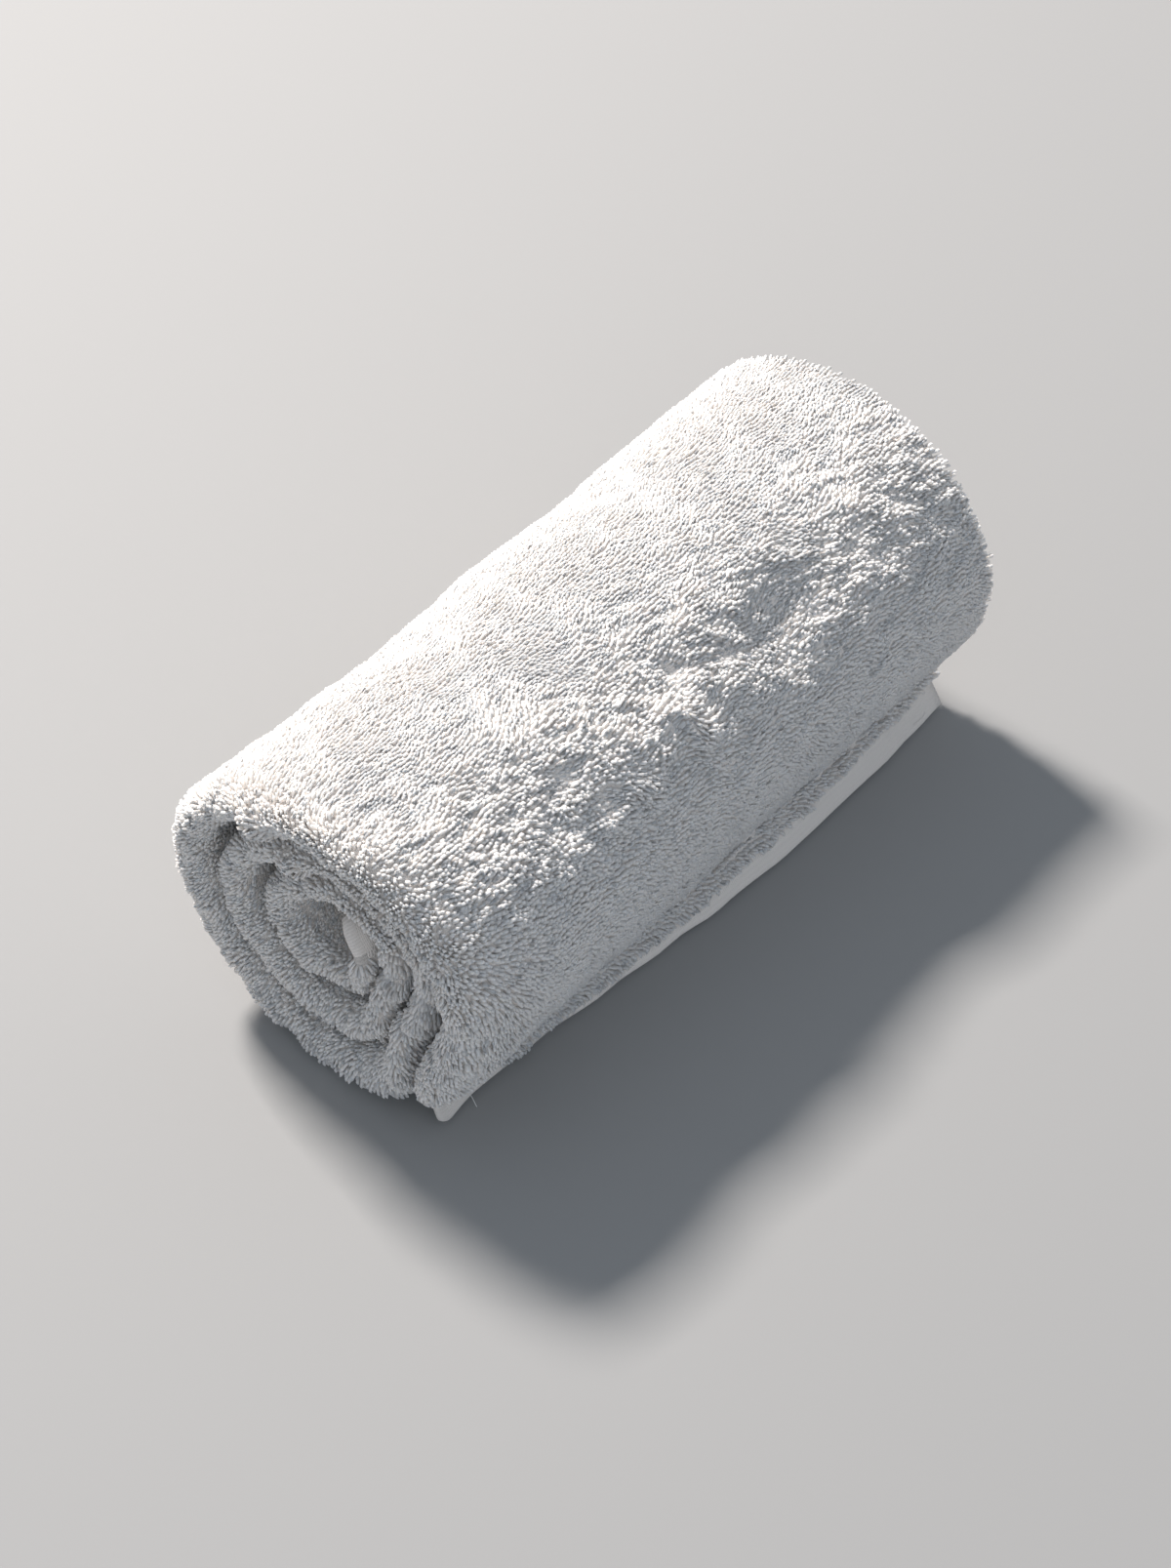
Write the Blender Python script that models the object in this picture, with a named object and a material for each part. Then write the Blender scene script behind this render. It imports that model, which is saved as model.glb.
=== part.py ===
"""A white terry towel, doubled along its length and rolled up, lying on its side.

The roll lies along X. Its folded end is at -X, its open edges at +X, and the hemmed loose
end rests on the floor along the -Y side. Sizes are in metres, +Z is up, and the floor is z = 0.
"""

import math
from collections import namedtuple

import bmesh
import bpy

MM = 0.001

# the roll as it lies
ROLL_WIDTH = 133 * MM
ROLL_HEIGHT = 116 * MM
ROLL_LENGTH = 258 * MM
SETTLE = 1.5 * MM  # how far its own weight flattens the underside
AXIS_HEIGHT = ROLL_HEIGHT / 2 - SETTLE / 2

# the winding
TURN_STEP = 9.0  # degrees from one section to the next
LOOSE_ANGLE = -27.0  # where the cloth leaves the roll for its loose end
CORE_ANGLE = 1152.0  # where the inner end lies in the hollow core
TUCK_START, TUCK_END = 302.0, 331.0  # where the outer wrap dives under the loose end

# the doubled cloth, across its width
FOLD_ROUND = 0.75  # reach of the rounded fold, in thicknesses
FOLD_STEPS = 6
LENGTH_STEPS = 13
LIP_ROUND = 3.0 * MM  # rounding of each open edge
LIP_GROOVE = 4.0 * MM  # depth of the slit between the two open edges
LIP_SLIT = 0.12  # half the slit's width, in thicknesses

# Angles are in degrees round the roll's axis, from the side of the loose end, up, over the
# top and down the other side. Distances are in millimetres.
LooseEnd = namedtuple("LooseEnd", "angle middle thick sway")
LOOSE_END = (
    LooseEnd(angle=-47.5, middle=74.0, thick=4.6, sway=1.00),  # the hem's edge, on the floor
    LooseEnd(angle=-46.0, middle=67.8, thick=4.8, sway=0.85),
    LooseEnd(angle=-43.0, middle=61.2, thick=6.0, sway=0.36),  # where the hem meets the pile
    LooseEnd(angle=-37.0, middle=56.6, thick=14.0, sway=0.14),
    LooseEnd(angle=-31.0, middle=55.4, thick=18.0, sway=0.05),
)
HemSway = namedtuple("HemSway", "x inward")
HEM_SWAY = (  # how far the hem's edge wanders towards the roll, along its length
    HemSway(x=-126, inward=6.0),
    HemSway(x=-110, inward=7.5),
    HemSway(x=-80, inward=6.2),
    HemSway(x=-50, inward=2.5),
    HemSway(x=-22, inward=-0.5),
    HemSway(x=0, inward=-3.6),
    HemSway(x=35, inward=-5.2),
    HemSway(x=85, inward=-4.8),
    HemSway(x=105, inward=-3.2),
    HemSway(x=124, inward=-2.4),
)

Wrap = namedtuple("Wrap", "angle thick gap near far")
WRAPS = (  # near and far: how much longer than the roll each end is there
    Wrap(angle=-60, thick=17.0, gap=0.0, near=-2.5, far=-8.0),
    Wrap(angle=-47, thick=17.5, gap=0.0, near=-2.2, far=-5.0),
    Wrap(angle=-43, thick=18.0, gap=0.0, near=2.5, far=-3.0),
    Wrap(angle=-36, thick=18.7, gap=0.0, near=8.5, far=-0.5),
    Wrap(angle=-26, thick=19.6, gap=0.0, near=10.5, far=0.8),
    Wrap(angle=-11, thick=21.0, gap=0.0, near=8.0, far=1.3),
    Wrap(angle=3, thick=21.5, gap=0.0, near=4.5, far=1.6),
    Wrap(angle=24, thick=20.8, gap=0.0, near=2.6, far=2.1),
    Wrap(angle=90, thick=17.0, gap=0.0, near=5.5, far=5.0),
    Wrap(angle=150, thick=16.5, gap=0.0, near=4.2, far=3.5),
    Wrap(angle=205, thick=17.5, gap=0.0, near=4.6, far=2.0),
    Wrap(angle=245, thick=15.5, gap=0.0, near=5.2, far=0.5),
    Wrap(angle=280, thick=16.0, gap=0.0, near=5.6, far=-1.0),
    Wrap(angle=309, thick=19.6, gap=0.5, near=6.5, far=-1.5),
    Wrap(angle=334, thick=13.0, gap=1.0, near=2.0, far=-2.5),
    Wrap(angle=375, thick=14.0, gap=1.2, near=-4.0, far=-3.0),
    Wrap(angle=440, thick=13.5, gap=0.8, near=0.0, far=-2.0),
    Wrap(angle=505, thick=13.5, gap=3.5, near=2.0, far=-3.0),
    Wrap(angle=570, thick=13.0, gap=1.0, near=2.8, far=-5.0),
    Wrap(angle=640, thick=13.0, gap=0.8, near=2.3, far=-4.0),
    Wrap(angle=668, thick=16.0, gap=0.8, near=1.0, far=-4.0),
    Wrap(angle=694, thick=11.5, gap=0.8, near=-2.0, far=-5.0),
    Wrap(angle=745, thick=13.0, gap=0.8, near=-4.0, far=-6.0),
    Wrap(angle=815, thick=14.0, gap=0.8, near=-2.0, far=-5.0),
    Wrap(angle=870, thick=14.5, gap=3.0, near=-0.5, far=-7.0),
    Wrap(angle=950, thick=14.0, gap=0.8, near=-0.5, far=-8.0),
    Wrap(angle=1005, thick=13.0, gap=0.8, near=-4.0, far=-7.0),
    Wrap(angle=1045, thick=6.5, gap=0.8, near=-1.0, far=-9.0),
    Wrap(angle=1075, thick=6.0, gap=0.8, near=1.0, far=-9.0),
    Wrap(angle=1112, thick=5.0, gap=0.7, near=-0.5, far=-10.0),
    Wrap(angle=1155, thick=3.8, gap=0.6, near=-6.0, far=-10.0),
)

Dent = namedtuple("Dent", "x angle depth reach_x reach_angle")
DENTS = (  # soft hollows, and swells where the depth is negative
    Dent(x=42, angle=41, depth=7.5, reach_x=19, reach_angle=14),
    Dent(x=66, angle=34, depth=-1.6, reach_x=14, reach_angle=14),
    Dent(x=-39, angle=42, depth=-2.0, reach_x=20, reach_angle=14),
    Dent(x=-14, angle=58, depth=1.6, reach_x=16, reach_angle=14),
    Dent(x=-66, angle=56, depth=1.4, reach_x=18, reach_angle=18),
    Dent(x=-95, angle=38, depth=-1.8, reach_x=20, reach_angle=16),
    Dent(x=-45, angle=128, depth=2.4, reach_x=24, reach_angle=34),
    Dent(x=45, angle=128, depth=1.8, reach_x=24, reach_angle=30),
    Dent(x=-120, angle=165, depth=-2.0, reach_x=22, reach_angle=26),
    Dent(x=20, angle=-8, depth=1.5, reach_x=45, reach_angle=16),
    Dent(x=-10, angle=208, depth=1.5, reach_x=50, reach_angle=18),
)

TOWEL_COLOUR = (0.91, 0.875, 0.85, 1.0)


def eased(rows, place, column):
    """A column's value at a place of the first column, running smoothly from row to row."""
    for before, after in zip(rows, rows[1:]):
        if place <= after[0]:
            share = max(0.0, (place - before[0]) / (after[0] - before[0]))
            share = share * share * (3 - 2 * share)
            start, end = getattr(before, column), getattr(after, column)
            return start + (end - start) * share
    return getattr(rows[-1], column)


def outline(angle):
    """Distance from the axis to the outside of the roll: an oval, cut off by the floor."""
    turn = math.radians(angle)
    oval = 1 / math.hypot(math.cos(turn) / (ROLL_WIDTH / 2), math.sin(turn) / (ROLL_HEIGHT / 2))
    down = -math.sin(turn)
    return min(oval, AXIS_HEIGHT / down) if down > 0 else oval


def wind():
    """The sections of the cloth from its loose end to its core: angle, middle line, thickness and
    how far the loose end sways there. Each wrap lies inside the one before it."""
    sections = [
        (row.angle, row.middle * MM, row.thick * MM, row.sway) for row in LOOSE_END
    ]
    inner_faces = {}
    steps = round((CORE_ANGLE - LOOSE_ANGLE) / TURN_STEP)
    per_turn = round(360 / TURN_STEP)
    for step in range(steps + 1):
        angle = LOOSE_ANGLE + step * TURN_STEP
        thick = eased(WRAPS, angle, "thick") * MM
        outer = outline(angle)
        if angle > TUCK_START:
            around = inner_faces.get(step - per_turn, inner_faces[0])
            tucked = around - eased(WRAPS, angle, "gap") * MM
            share = min(1.0, (angle - TUCK_START) / (TUCK_END - TUCK_START))
            outer += (tucked - outer) * share * share * (3 - 2 * share)
        inner_faces[step] = outer - thick
        sections.append((angle, outer - thick / 2, thick, 0.0))
    return sections


def across():
    """The doubled cloth cut across: (place along the roll, side, how far past that place) for each
    point, where the side runs from -1 on the inner face to 1 on the outer one."""
    points = [(step / LENGTH_STEPS, 1.0, None) for step in range(LENGTH_STEPS + 1)]
    points += [
        (1.0, 0.55, LIP_ROUND),
        (1.0, LIP_SLIT, LIP_ROUND * 0.7),
        (1.0, 0.0, LIP_ROUND - LIP_GROOVE),
        (1.0, -LIP_SLIT, LIP_ROUND * 0.7),
        (1.0, -0.55, LIP_ROUND),
    ]
    points += [(1 - step / LENGTH_STEPS, -1.0, None) for step in range(LENGTH_STEPS + 1)]
    for step in range(1, FOLD_STEPS):
        turn = math.pi * step / FOLD_STEPS
        points.append((0.0, -math.cos(turn), -FOLD_ROUND * math.sin(turn)))
    return points


def dented(x, y, z):
    """A point after the roll's soft dents, which fade towards its core."""
    out_y, out_z = -y, z - AXIS_HEIGHT
    distance = math.hypot(out_y, out_z)
    angle = math.degrees(math.atan2(out_z, out_y))
    depth = 0.0
    for dent in DENTS:
        apart = (angle - dent.angle + 180) % 360 - 180
        depth += dent.depth * math.exp(
            -((x / MM - dent.x) / dent.reach_x) ** 2 - (apart / dent.reach_angle) ** 2
        )
    depth *= MM * min(1.0, distance / (ROLL_HEIGHT / 2)) ** 2
    scale = 1 - depth / max(distance, 10 * MM)
    return x, -out_y * scale, AXIS_HEIGHT + out_z * scale


def towel_point(section, point):
    """Where one point of the cloth's cut lies on one section of the winding."""
    angle, middle, thick, sway = section
    place, side, past = point
    near = -ROLL_LENGTH / 2 - eased(WRAPS, angle, "near") * MM + FOLD_ROUND * thick
    far = ROLL_LENGTH / 2 + eased(WRAPS, angle, "far") * MM - LIP_ROUND
    x = near + (far - near) * place
    if past is not None:
        x += past * thick if place == 0.0 else past
    turn = math.radians(angle)
    distance = middle + side * thick / 2
    y = -distance * math.cos(turn)
    z = AXIS_HEIGHT + distance * math.sin(turn)
    y += sway * eased(HEM_SWAY, x / MM, "inward") * MM
    x, y, z = dented(x, y, z)
    return x, y, max(z, 0.0)


def make_towel():
    """One closed solid: a grid of sections by points, wrapped round, sewn up and capped."""
    sections, points = wind(), across()
    rows, columns = len(sections) - 1, len(points)
    cloth = bmesh.new()
    bmesh.ops.create_grid(cloth, x_segments=rows, y_segments=columns, size=0.5)
    for vert in cloth.verts:
        section = sections[round((vert.co.x + 0.5) * rows)]
        point = points[round((vert.co.y + 0.5) * columns) % columns]
        vert.co = towel_point(section, point)
    middle = [
        (min(vert.co[side] for vert in cloth.verts) + max(vert.co[side] for vert in cloth.verts)) / 2
        for side in range(2)
    ]
    bmesh.ops.translate(cloth, verts=cloth.verts, vec=(-middle[0], -middle[1], 0.0))
    bmesh.ops.remove_doubles(cloth, verts=cloth.verts, dist=1e-7)
    ends = [edge for edge in cloth.edges if edge.is_boundary]
    bmesh.ops.holes_fill(cloth, edges=ends, sides=0)
    bmesh.ops.triangulate(cloth, faces=[face for face in cloth.faces if len(face.verts) > 4])
    bmesh.ops.recalc_face_normals(cloth, faces=cloth.faces)
    mesh = bpy.data.meshes.new("towel")
    cloth.to_mesh(mesh)
    cloth.free()
    mesh.shade_smooth()
    return bpy.data.objects.new("towel", mesh)


def terry_material():
    material = bpy.data.materials.new("white_terry")
    material.use_nodes = True
    shader = material.node_tree.nodes["Principled BSDF"]
    shader.inputs["Base Color"].default_value = TOWEL_COLOUR
    shader.inputs["Roughness"].default_value = 0.95
    shader.inputs["Metallic"].default_value = 0.0
    return material


def main():
    for old in list(bpy.data.objects):
        bpy.data.objects.remove(old, do_unlink=True)
    collection = bpy.data.collections.new("rolled_sports_towel")
    bpy.context.scene.collection.children.link(collection)
    towel = make_towel()
    towel.data.materials.append(terry_material())
    collection.objects.link(towel)


main()
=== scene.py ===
"""A white terry towel, doubled along its length and rolled up, lying on a pale floor.

The cloth is one thin sheet wound as the solid is. Its pile is loops of yarn planted row by row
on the sheet, and its ends are flat-woven hems.
"""

import math
from collections import namedtuple

import bpy
import numpy as np
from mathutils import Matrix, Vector


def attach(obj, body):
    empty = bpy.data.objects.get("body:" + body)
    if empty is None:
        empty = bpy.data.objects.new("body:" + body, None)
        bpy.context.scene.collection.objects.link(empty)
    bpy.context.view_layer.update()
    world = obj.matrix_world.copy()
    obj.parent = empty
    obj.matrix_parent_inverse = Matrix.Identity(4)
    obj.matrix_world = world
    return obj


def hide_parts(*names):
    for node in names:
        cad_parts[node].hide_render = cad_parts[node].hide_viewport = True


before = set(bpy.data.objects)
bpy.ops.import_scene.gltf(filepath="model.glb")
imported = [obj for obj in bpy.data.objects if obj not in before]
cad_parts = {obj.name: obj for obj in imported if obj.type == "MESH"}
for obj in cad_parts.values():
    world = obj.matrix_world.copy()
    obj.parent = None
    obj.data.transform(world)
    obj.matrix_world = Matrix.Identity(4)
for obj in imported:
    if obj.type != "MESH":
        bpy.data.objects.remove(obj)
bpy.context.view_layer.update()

bl_info = {
    "name": "Rolled Terry Towel",
    "version": (1, 0, 0),
    "blender": (4, 5, 0),
    "location": "3D Viewport > Sidebar > Towel",
    "description": "Models a rolled terry towel with its pile and hems, and a studio to show it in",
    "category": "Object",
}

MM = 0.001
NODE = "towel"

# the roll as it lies
ROLL_WIDTH = 133 * MM
ROLL_HEIGHT = 116 * MM
ROLL_LENGTH = 258 * MM
SETTLE = 1.5 * MM  # how far its own weight flattens the underside
AXIS_HEIGHT = ROLL_HEIGHT / 2 - SETTLE / 2

# the winding
TURN_STEP = 3.0  # degrees from one section to the next
LOOSE_ANGLE = -27.0  # where the cloth leaves the roll for its loose end
CORE_ANGLE = 1152.0  # where the inner end lies in the hollow core
TUCK_START, TUCK_END = 302.0, 331.0  # where the outer wrap dives under the loose end
FOLD_ROUND = 0.75  # reach of the rounded fold, in thicknesses

# Angles are in degrees round the roll's axis, from the side of the loose end, up, over the
# top and down the other side. Distances in these tables are in millimetres.
LooseEnd = namedtuple("LooseEnd", "angle middle thick sway")
LOOSE_END = (
    LooseEnd(angle=-47.5, middle=74.0, thick=4.6, sway=1.00),  # the hem's edge, on the floor
    LooseEnd(angle=-46.0, middle=67.8, thick=4.8, sway=0.85),
    LooseEnd(angle=-43.0, middle=61.2, thick=6.0, sway=0.36),  # where the hem meets the pile
    LooseEnd(angle=-37.0, middle=56.6, thick=14.0, sway=0.14),
    LooseEnd(angle=-31.0, middle=55.4, thick=18.0, sway=0.05),
)
HemSway = namedtuple("HemSway", "x inward")
HEM_SWAY = (  # how far the hem's edge wanders towards the roll, along its length
    HemSway(x=-126, inward=6.0),
    HemSway(x=-110, inward=7.5),
    HemSway(x=-80, inward=6.2),
    HemSway(x=-50, inward=2.5),
    HemSway(x=-22, inward=-0.5),
    HemSway(x=0, inward=-3.6),
    HemSway(x=35, inward=-5.2),
    HemSway(x=85, inward=-4.8),
    HemSway(x=105, inward=-3.2),
    HemSway(x=124, inward=-2.4),
)

Wrap = namedtuple("Wrap", "angle thick gap near far")
WRAPS = (  # near and far: how much longer than the roll each end is there
    Wrap(angle=-60, thick=17.0, gap=0.0, near=-2.5, far=-8.0),
    Wrap(angle=-47, thick=17.5, gap=0.0, near=-2.2, far=-5.0),
    Wrap(angle=-43, thick=18.0, gap=0.0, near=2.5, far=-3.0),
    Wrap(angle=-36, thick=18.7, gap=0.0, near=8.5, far=-0.5),
    Wrap(angle=-26, thick=19.6, gap=0.0, near=10.5, far=0.8),
    Wrap(angle=-11, thick=21.0, gap=0.0, near=8.0, far=1.3),
    Wrap(angle=3, thick=21.5, gap=0.0, near=4.5, far=1.6),
    Wrap(angle=24, thick=20.8, gap=0.0, near=2.6, far=2.1),
    Wrap(angle=90, thick=17.0, gap=0.0, near=5.5, far=5.0),
    Wrap(angle=150, thick=16.5, gap=0.0, near=4.2, far=3.5),
    Wrap(angle=205, thick=17.5, gap=0.0, near=4.6, far=2.0),
    Wrap(angle=245, thick=15.5, gap=0.0, near=5.2, far=0.5),
    Wrap(angle=280, thick=16.0, gap=0.0, near=5.6, far=-1.0),
    Wrap(angle=309, thick=19.6, gap=0.5, near=6.5, far=-1.5),
    Wrap(angle=334, thick=13.0, gap=1.0, near=2.0, far=-2.5),
    Wrap(angle=375, thick=14.0, gap=1.2, near=-4.0, far=-3.0),
    Wrap(angle=440, thick=13.5, gap=0.8, near=0.0, far=-2.0),
    Wrap(angle=505, thick=13.5, gap=3.5, near=2.0, far=-3.0),
    Wrap(angle=570, thick=13.0, gap=1.0, near=2.8, far=-5.0),
    Wrap(angle=640, thick=13.0, gap=0.8, near=2.3, far=-4.0),
    Wrap(angle=668, thick=16.0, gap=0.8, near=1.0, far=-4.0),
    Wrap(angle=694, thick=11.5, gap=0.8, near=-2.0, far=-5.0),
    Wrap(angle=745, thick=13.0, gap=0.8, near=-4.0, far=-6.0),
    Wrap(angle=815, thick=14.0, gap=0.8, near=-2.0, far=-5.0),
    Wrap(angle=870, thick=14.5, gap=3.0, near=-0.5, far=-7.0),
    Wrap(angle=950, thick=14.0, gap=0.8, near=-0.5, far=-8.0),
    Wrap(angle=1005, thick=13.0, gap=0.8, near=-4.0, far=-7.0),
    Wrap(angle=1045, thick=6.5, gap=0.8, near=-1.0, far=-9.0),
    Wrap(angle=1075, thick=6.0, gap=0.8, near=1.0, far=-9.0),
    Wrap(angle=1112, thick=5.0, gap=0.7, near=-0.5, far=-10.0),
    Wrap(angle=1155, thick=3.8, gap=0.6, near=-6.0, far=-10.0),
)

Dent = namedtuple("Dent", "x angle depth reach_x reach_angle")
DENTS = (  # soft hollows, and swells where the depth is negative
    Dent(x=42, angle=41, depth=7.5, reach_x=19, reach_angle=14),
    Dent(x=66, angle=34, depth=-1.6, reach_x=14, reach_angle=14),
    Dent(x=-39, angle=42, depth=-2.0, reach_x=20, reach_angle=14),
    Dent(x=-14, angle=58, depth=1.6, reach_x=16, reach_angle=14),
    Dent(x=-66, angle=56, depth=1.4, reach_x=18, reach_angle=18),
    Dent(x=-95, angle=38, depth=-1.8, reach_x=20, reach_angle=16),
    Dent(x=-45, angle=128, depth=2.4, reach_x=24, reach_angle=34),
    Dent(x=45, angle=128, depth=1.8, reach_x=24, reach_angle=30),
    Dent(x=-120, angle=165, depth=-2.0, reach_x=22, reach_angle=26),
    Dent(x=20, angle=-8, depth=1.5, reach_x=45, reach_angle=16),
    Dent(x=-10, angle=208, depth=1.5, reach_x=50, reach_angle=18),
)

Fold = namedtuple("Fold", "angle across height reach_angle reach_across")
RIM_FOLDS = (  # where a layer bulges near the folded end; across is minus on the inner layer
    Fold(angle=121, across=-9, height=6.0, reach_angle=7.5, reach_across=9),
    Fold(angle=476, across=-8, height=4.0, reach_angle=12, reach_across=9),
    Fold(angle=318, across=0, height=1.8, reach_angle=9, reach_across=10),
    Fold(angle=676, across=2, height=2.0, reach_angle=14, reach_across=10),
    Fold(angle=706, across=-5, height=1.6, reach_angle=9, reach_across=9),
    Fold(angle=-14, across=2, height=-1.6, reach_angle=4, reach_across=16),
    Fold(angle=2, across=4, height=-1.3, reach_angle=4, reach_across=14),
)

Peep = namedtuple("Peep", "out x reach_x")
UNDER_HEM = Peep(out=2.6, x=112, reach_x=10)  # where the hem's lower layer peeps out

Pinch = namedtuple("Pinch", "x angle height reach_x reach_angle")
PINCHES = (  # small tucks and pits in the outside, with their height
    Pinch(x=-14, angle=43, height=3.2, reach_x=6, reach_angle=4),
    Pinch(x=-6, angle=34, height=2.2, reach_x=4, reach_angle=7),
    Pinch(x=-2, angle=54, height=-2.8, reach_x=5, reach_angle=4),
    Pinch(x=14, angle=40, height=1.8, reach_x=6, reach_angle=5),
    Pinch(x=-52, angle=33, height=1.6, reach_x=8, reach_angle=5),
    Pinch(x=-28, angle=30, height=-1.6, reach_x=7, reach_angle=4),
    Pinch(x=-72, angle=38, height=-1.2, reach_x=7, reach_angle=5),
    Pinch(x=-104, angle=28, height=1.2, reach_x=8, reach_angle=6),
    Pinch(x=84, angle=34, height=1.4, reach_x=10, reach_angle=7),
)
OUTSIDE_FROM, OUTSIDE_RISE = 0.72, 0.2  # where pinches begin, in shares of half the roll's height
UNEVEN = 0.55 * MM  # how far the surface wanders in and out
UNEVEN_SIZES = (34 * MM, 15 * MM)
UNEVEN_SEED = 11
Lumps = namedtuple("Lumps", "even more x angle reach_x reach_angle")
LUMPS = Lumps(even=0.45, more=1.2, x=-10, angle=36, reach_x=90, reach_angle=24)

# the cloth and its pile
PILE = 3.3 * MM  # from the woven ground to the loops' tops
GROUND = 1.1 * MM  # thickness of the woven ground
SHEET_STEP_ALONG = 3.8 * MM
SHEET_HEM = 17 * MM  # the loose end's hem and the first of its pile have finer steps
SHEET_STEPS_HEM = 26
SHEET_STEPS_FOLD = 10
SHEET_STEPS_LAYER = 44
FLOOR_CLEAR = 0.15 * MM
FOLD_CLOTH = 0.86  # the cloth round the fold, in lengths of its outside
NUDGE = 0.4 * MM  # between two points that give a direction on the cloth

Winding = namedtuple("Winding", "along angle middle thick sway near far")


def eased(rows, place, column):
    """A column's values at these places of the first column, running smoothly from row to row."""
    knots = np.array([row[0] for row in rows], float)
    values = np.array([getattr(row, column) for row in rows], float)
    before = np.clip(np.searchsorted(knots, place, side="right") - 1, 0, len(knots) - 2)
    share = np.clip((place - knots[before]) / (knots[before + 1] - knots[before]), 0, 1)
    share = share * share * (3 - 2 * share)
    return values[before] + (values[before + 1] - values[before]) * share


def outline(angle):
    """Distance from the axis to the outside of the roll: an oval, cut off by the floor."""
    turn = math.radians(angle)
    oval = 1 / math.hypot(math.cos(turn) / (ROLL_WIDTH / 2), math.sin(turn) / (ROLL_HEIGHT / 2))
    down = -math.sin(turn)
    return min(oval, AXIS_HEIGHT / down) if down > 0 else oval


def wind():
    """The doubled cloth's middle line from the loose end to the core, each wrap inside the last."""
    sections = [(row.angle, row.middle * MM, row.thick * MM, row.sway) for row in LOOSE_END]
    inner_faces = []
    per_turn = round(360 / TURN_STEP)
    for step in range(round((CORE_ANGLE - LOOSE_ANGLE) / TURN_STEP) + 1):
        angle = LOOSE_ANGLE + step * TURN_STEP
        thick = float(eased(WRAPS, angle, "thick")) * MM
        outer = outline(angle)
        if angle > TUCK_START:
            around = inner_faces[max(0, step - per_turn)]
            tucked = around - float(eased(WRAPS, angle, "gap")) * MM
            share = min(1.0, (angle - TUCK_START) / (TUCK_END - TUCK_START))
            outer += (tucked - outer) * share * share * (3 - 2 * share)
        inner_faces.append(outer - thick)
        sections.append((angle, outer - thick / 2, thick, 0.0))
    angle, middle, thick, sway = (np.array(column) for column in zip(*sections))
    turn = np.radians(angle)
    line = np.stack([middle * np.cos(turn), middle * np.sin(turn)], axis=1)
    along = np.concatenate([[0.0], np.cumsum(np.linalg.norm(np.diff(line, axis=0), axis=1))])
    near, far = (eased(WRAPS, angle, column) * MM for column in ("near", "far"))
    return Winding(along, angle, middle, thick, sway, near, far)


WINDING = wind()
CLOTH_LENGTH = float(WINDING.along[-1])
CLOTH_WIDTH = 0.52  # across both layers and round the fold's outside
LOOP_CELL = 1.05 * MM  # the weave of the pile's ground
HEM_RIB, HEM_THREAD = 0.9 * MM, 0.7 * MM  # the weave of the hems
HEM = 13 * MM  # width of the flat-woven band at each end
HEM_LEVEL = 0.5 * MM
HEM_HOLLOW = 1.8 * MM
HEM_HOLLOW_AT, HEM_HOLLOW_REACH = 0.8, 0.4  # in widths of the hem
HEM_SLOPE = 2.0 * MM  # over which the pile rises from the hem
HemCrease = namedtuple("HemCrease", "depth widest at reach")  # in widths of the hem that shows
HEM_CREASE = HemCrease(depth=0.5, widest=6 * MM, at=0.85, reach=0.34)  # under the pile's edge
PileEdge = namedtuple("PileEdge", "out at reach")
PILE_EDGE = PileEdge(out=1.0 * MM, at=3.8 * MM, reach=2.4 * MM)  # its swell over that crease
HemShows = namedtuple("HemShows", "x width")
HEM_SHOWS = (  # how wide a band of the loose end's hem shows below the pile
    HemShows(x=-128, width=12.5),
    HemShows(x=-119, width=10.0),
    HemShows(x=-108, width=4.0),
    HemShows(x=-95, width=2.2),
    HemShows(x=-60, width=3.0),
    HemShows(x=-20, width=4.5),
    HemShows(x=40, width=6.0),
    HemShows(x=90, width=7.5),
    HemShows(x=122, width=8.5),
)


def along_at(angle):
    """How far along the cloth the winding reaches this angle."""
    return float(np.interp(angle, WINDING.angle, WINDING.along))


def at(along, column):
    return np.interp(along, WINDING.along, getattr(WINDING, column))


def ripple(points, size, seed):
    """Smooth unevenness of about this size at each point, mostly between -1 and 1."""
    draw = np.random.default_rng(seed)
    total = np.zeros(len(points))
    waves = 9
    for _ in range(waves):
        way = draw.normal(size=3)
        way *= 2 * math.pi / (size * draw.uniform(0.7, 1.5) * np.linalg.norm(way))
        total += np.sin(points @ way + draw.uniform(0, 2 * math.pi))
    return total * math.sqrt(2 / waves) * 0.7


def bell(apart, reach):
    return np.exp(-((apart / reach) ** 2))


def shaped(x, y, z):
    """Points of the even roll after its dents, pinches and slow unevenness."""
    out_y, out_z = -y, z - AXIS_HEIGHT
    distance = np.hypot(out_y, out_z)
    angle = np.degrees(np.arctan2(out_z, out_y))
    depth = np.zeros_like(x)
    for dent in DENTS:
        apart = (angle - dent.angle + 180) % 360 - 180
        depth += dent.depth * bell(x / MM - dent.x, dent.reach_x) * bell(apart, dent.reach_angle)
    depth *= MM * np.minimum(1.0, distance / (ROLL_HEIGHT / 2)) ** 2
    outside = np.clip((distance / (ROLL_HEIGHT / 2) - OUTSIDE_FROM) / OUTSIDE_RISE, 0, 1)
    for pinch in PINCHES:
        apart = (angle - pinch.angle + 180) % 360 - 180
        rise = bell(x / MM - pinch.x, pinch.reach_x) * bell(apart, pinch.reach_angle)
        depth -= pinch.height * MM * rise * outside
    place = np.stack([x, y, z], axis=1)
    apart = (angle - LUMPS.angle + 180) % 360 - 180
    lumpy = bell(apart, LUMPS.reach_angle) * bell(x / MM - LUMPS.x, LUMPS.reach_x)
    lumpy = LUMPS.even + LUMPS.more * lumpy
    for turn, size in enumerate(UNEVEN_SIZES):
        depth -= UNEVEN * lumpy * ripple(place, size, UNEVEN_SEED + turn) / (1 + turn)
    scale = 1 - depth / np.maximum(distance, 10 * MM)
    return x, -out_y * scale, AXIS_HEIGHT + out_z * scale


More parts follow.
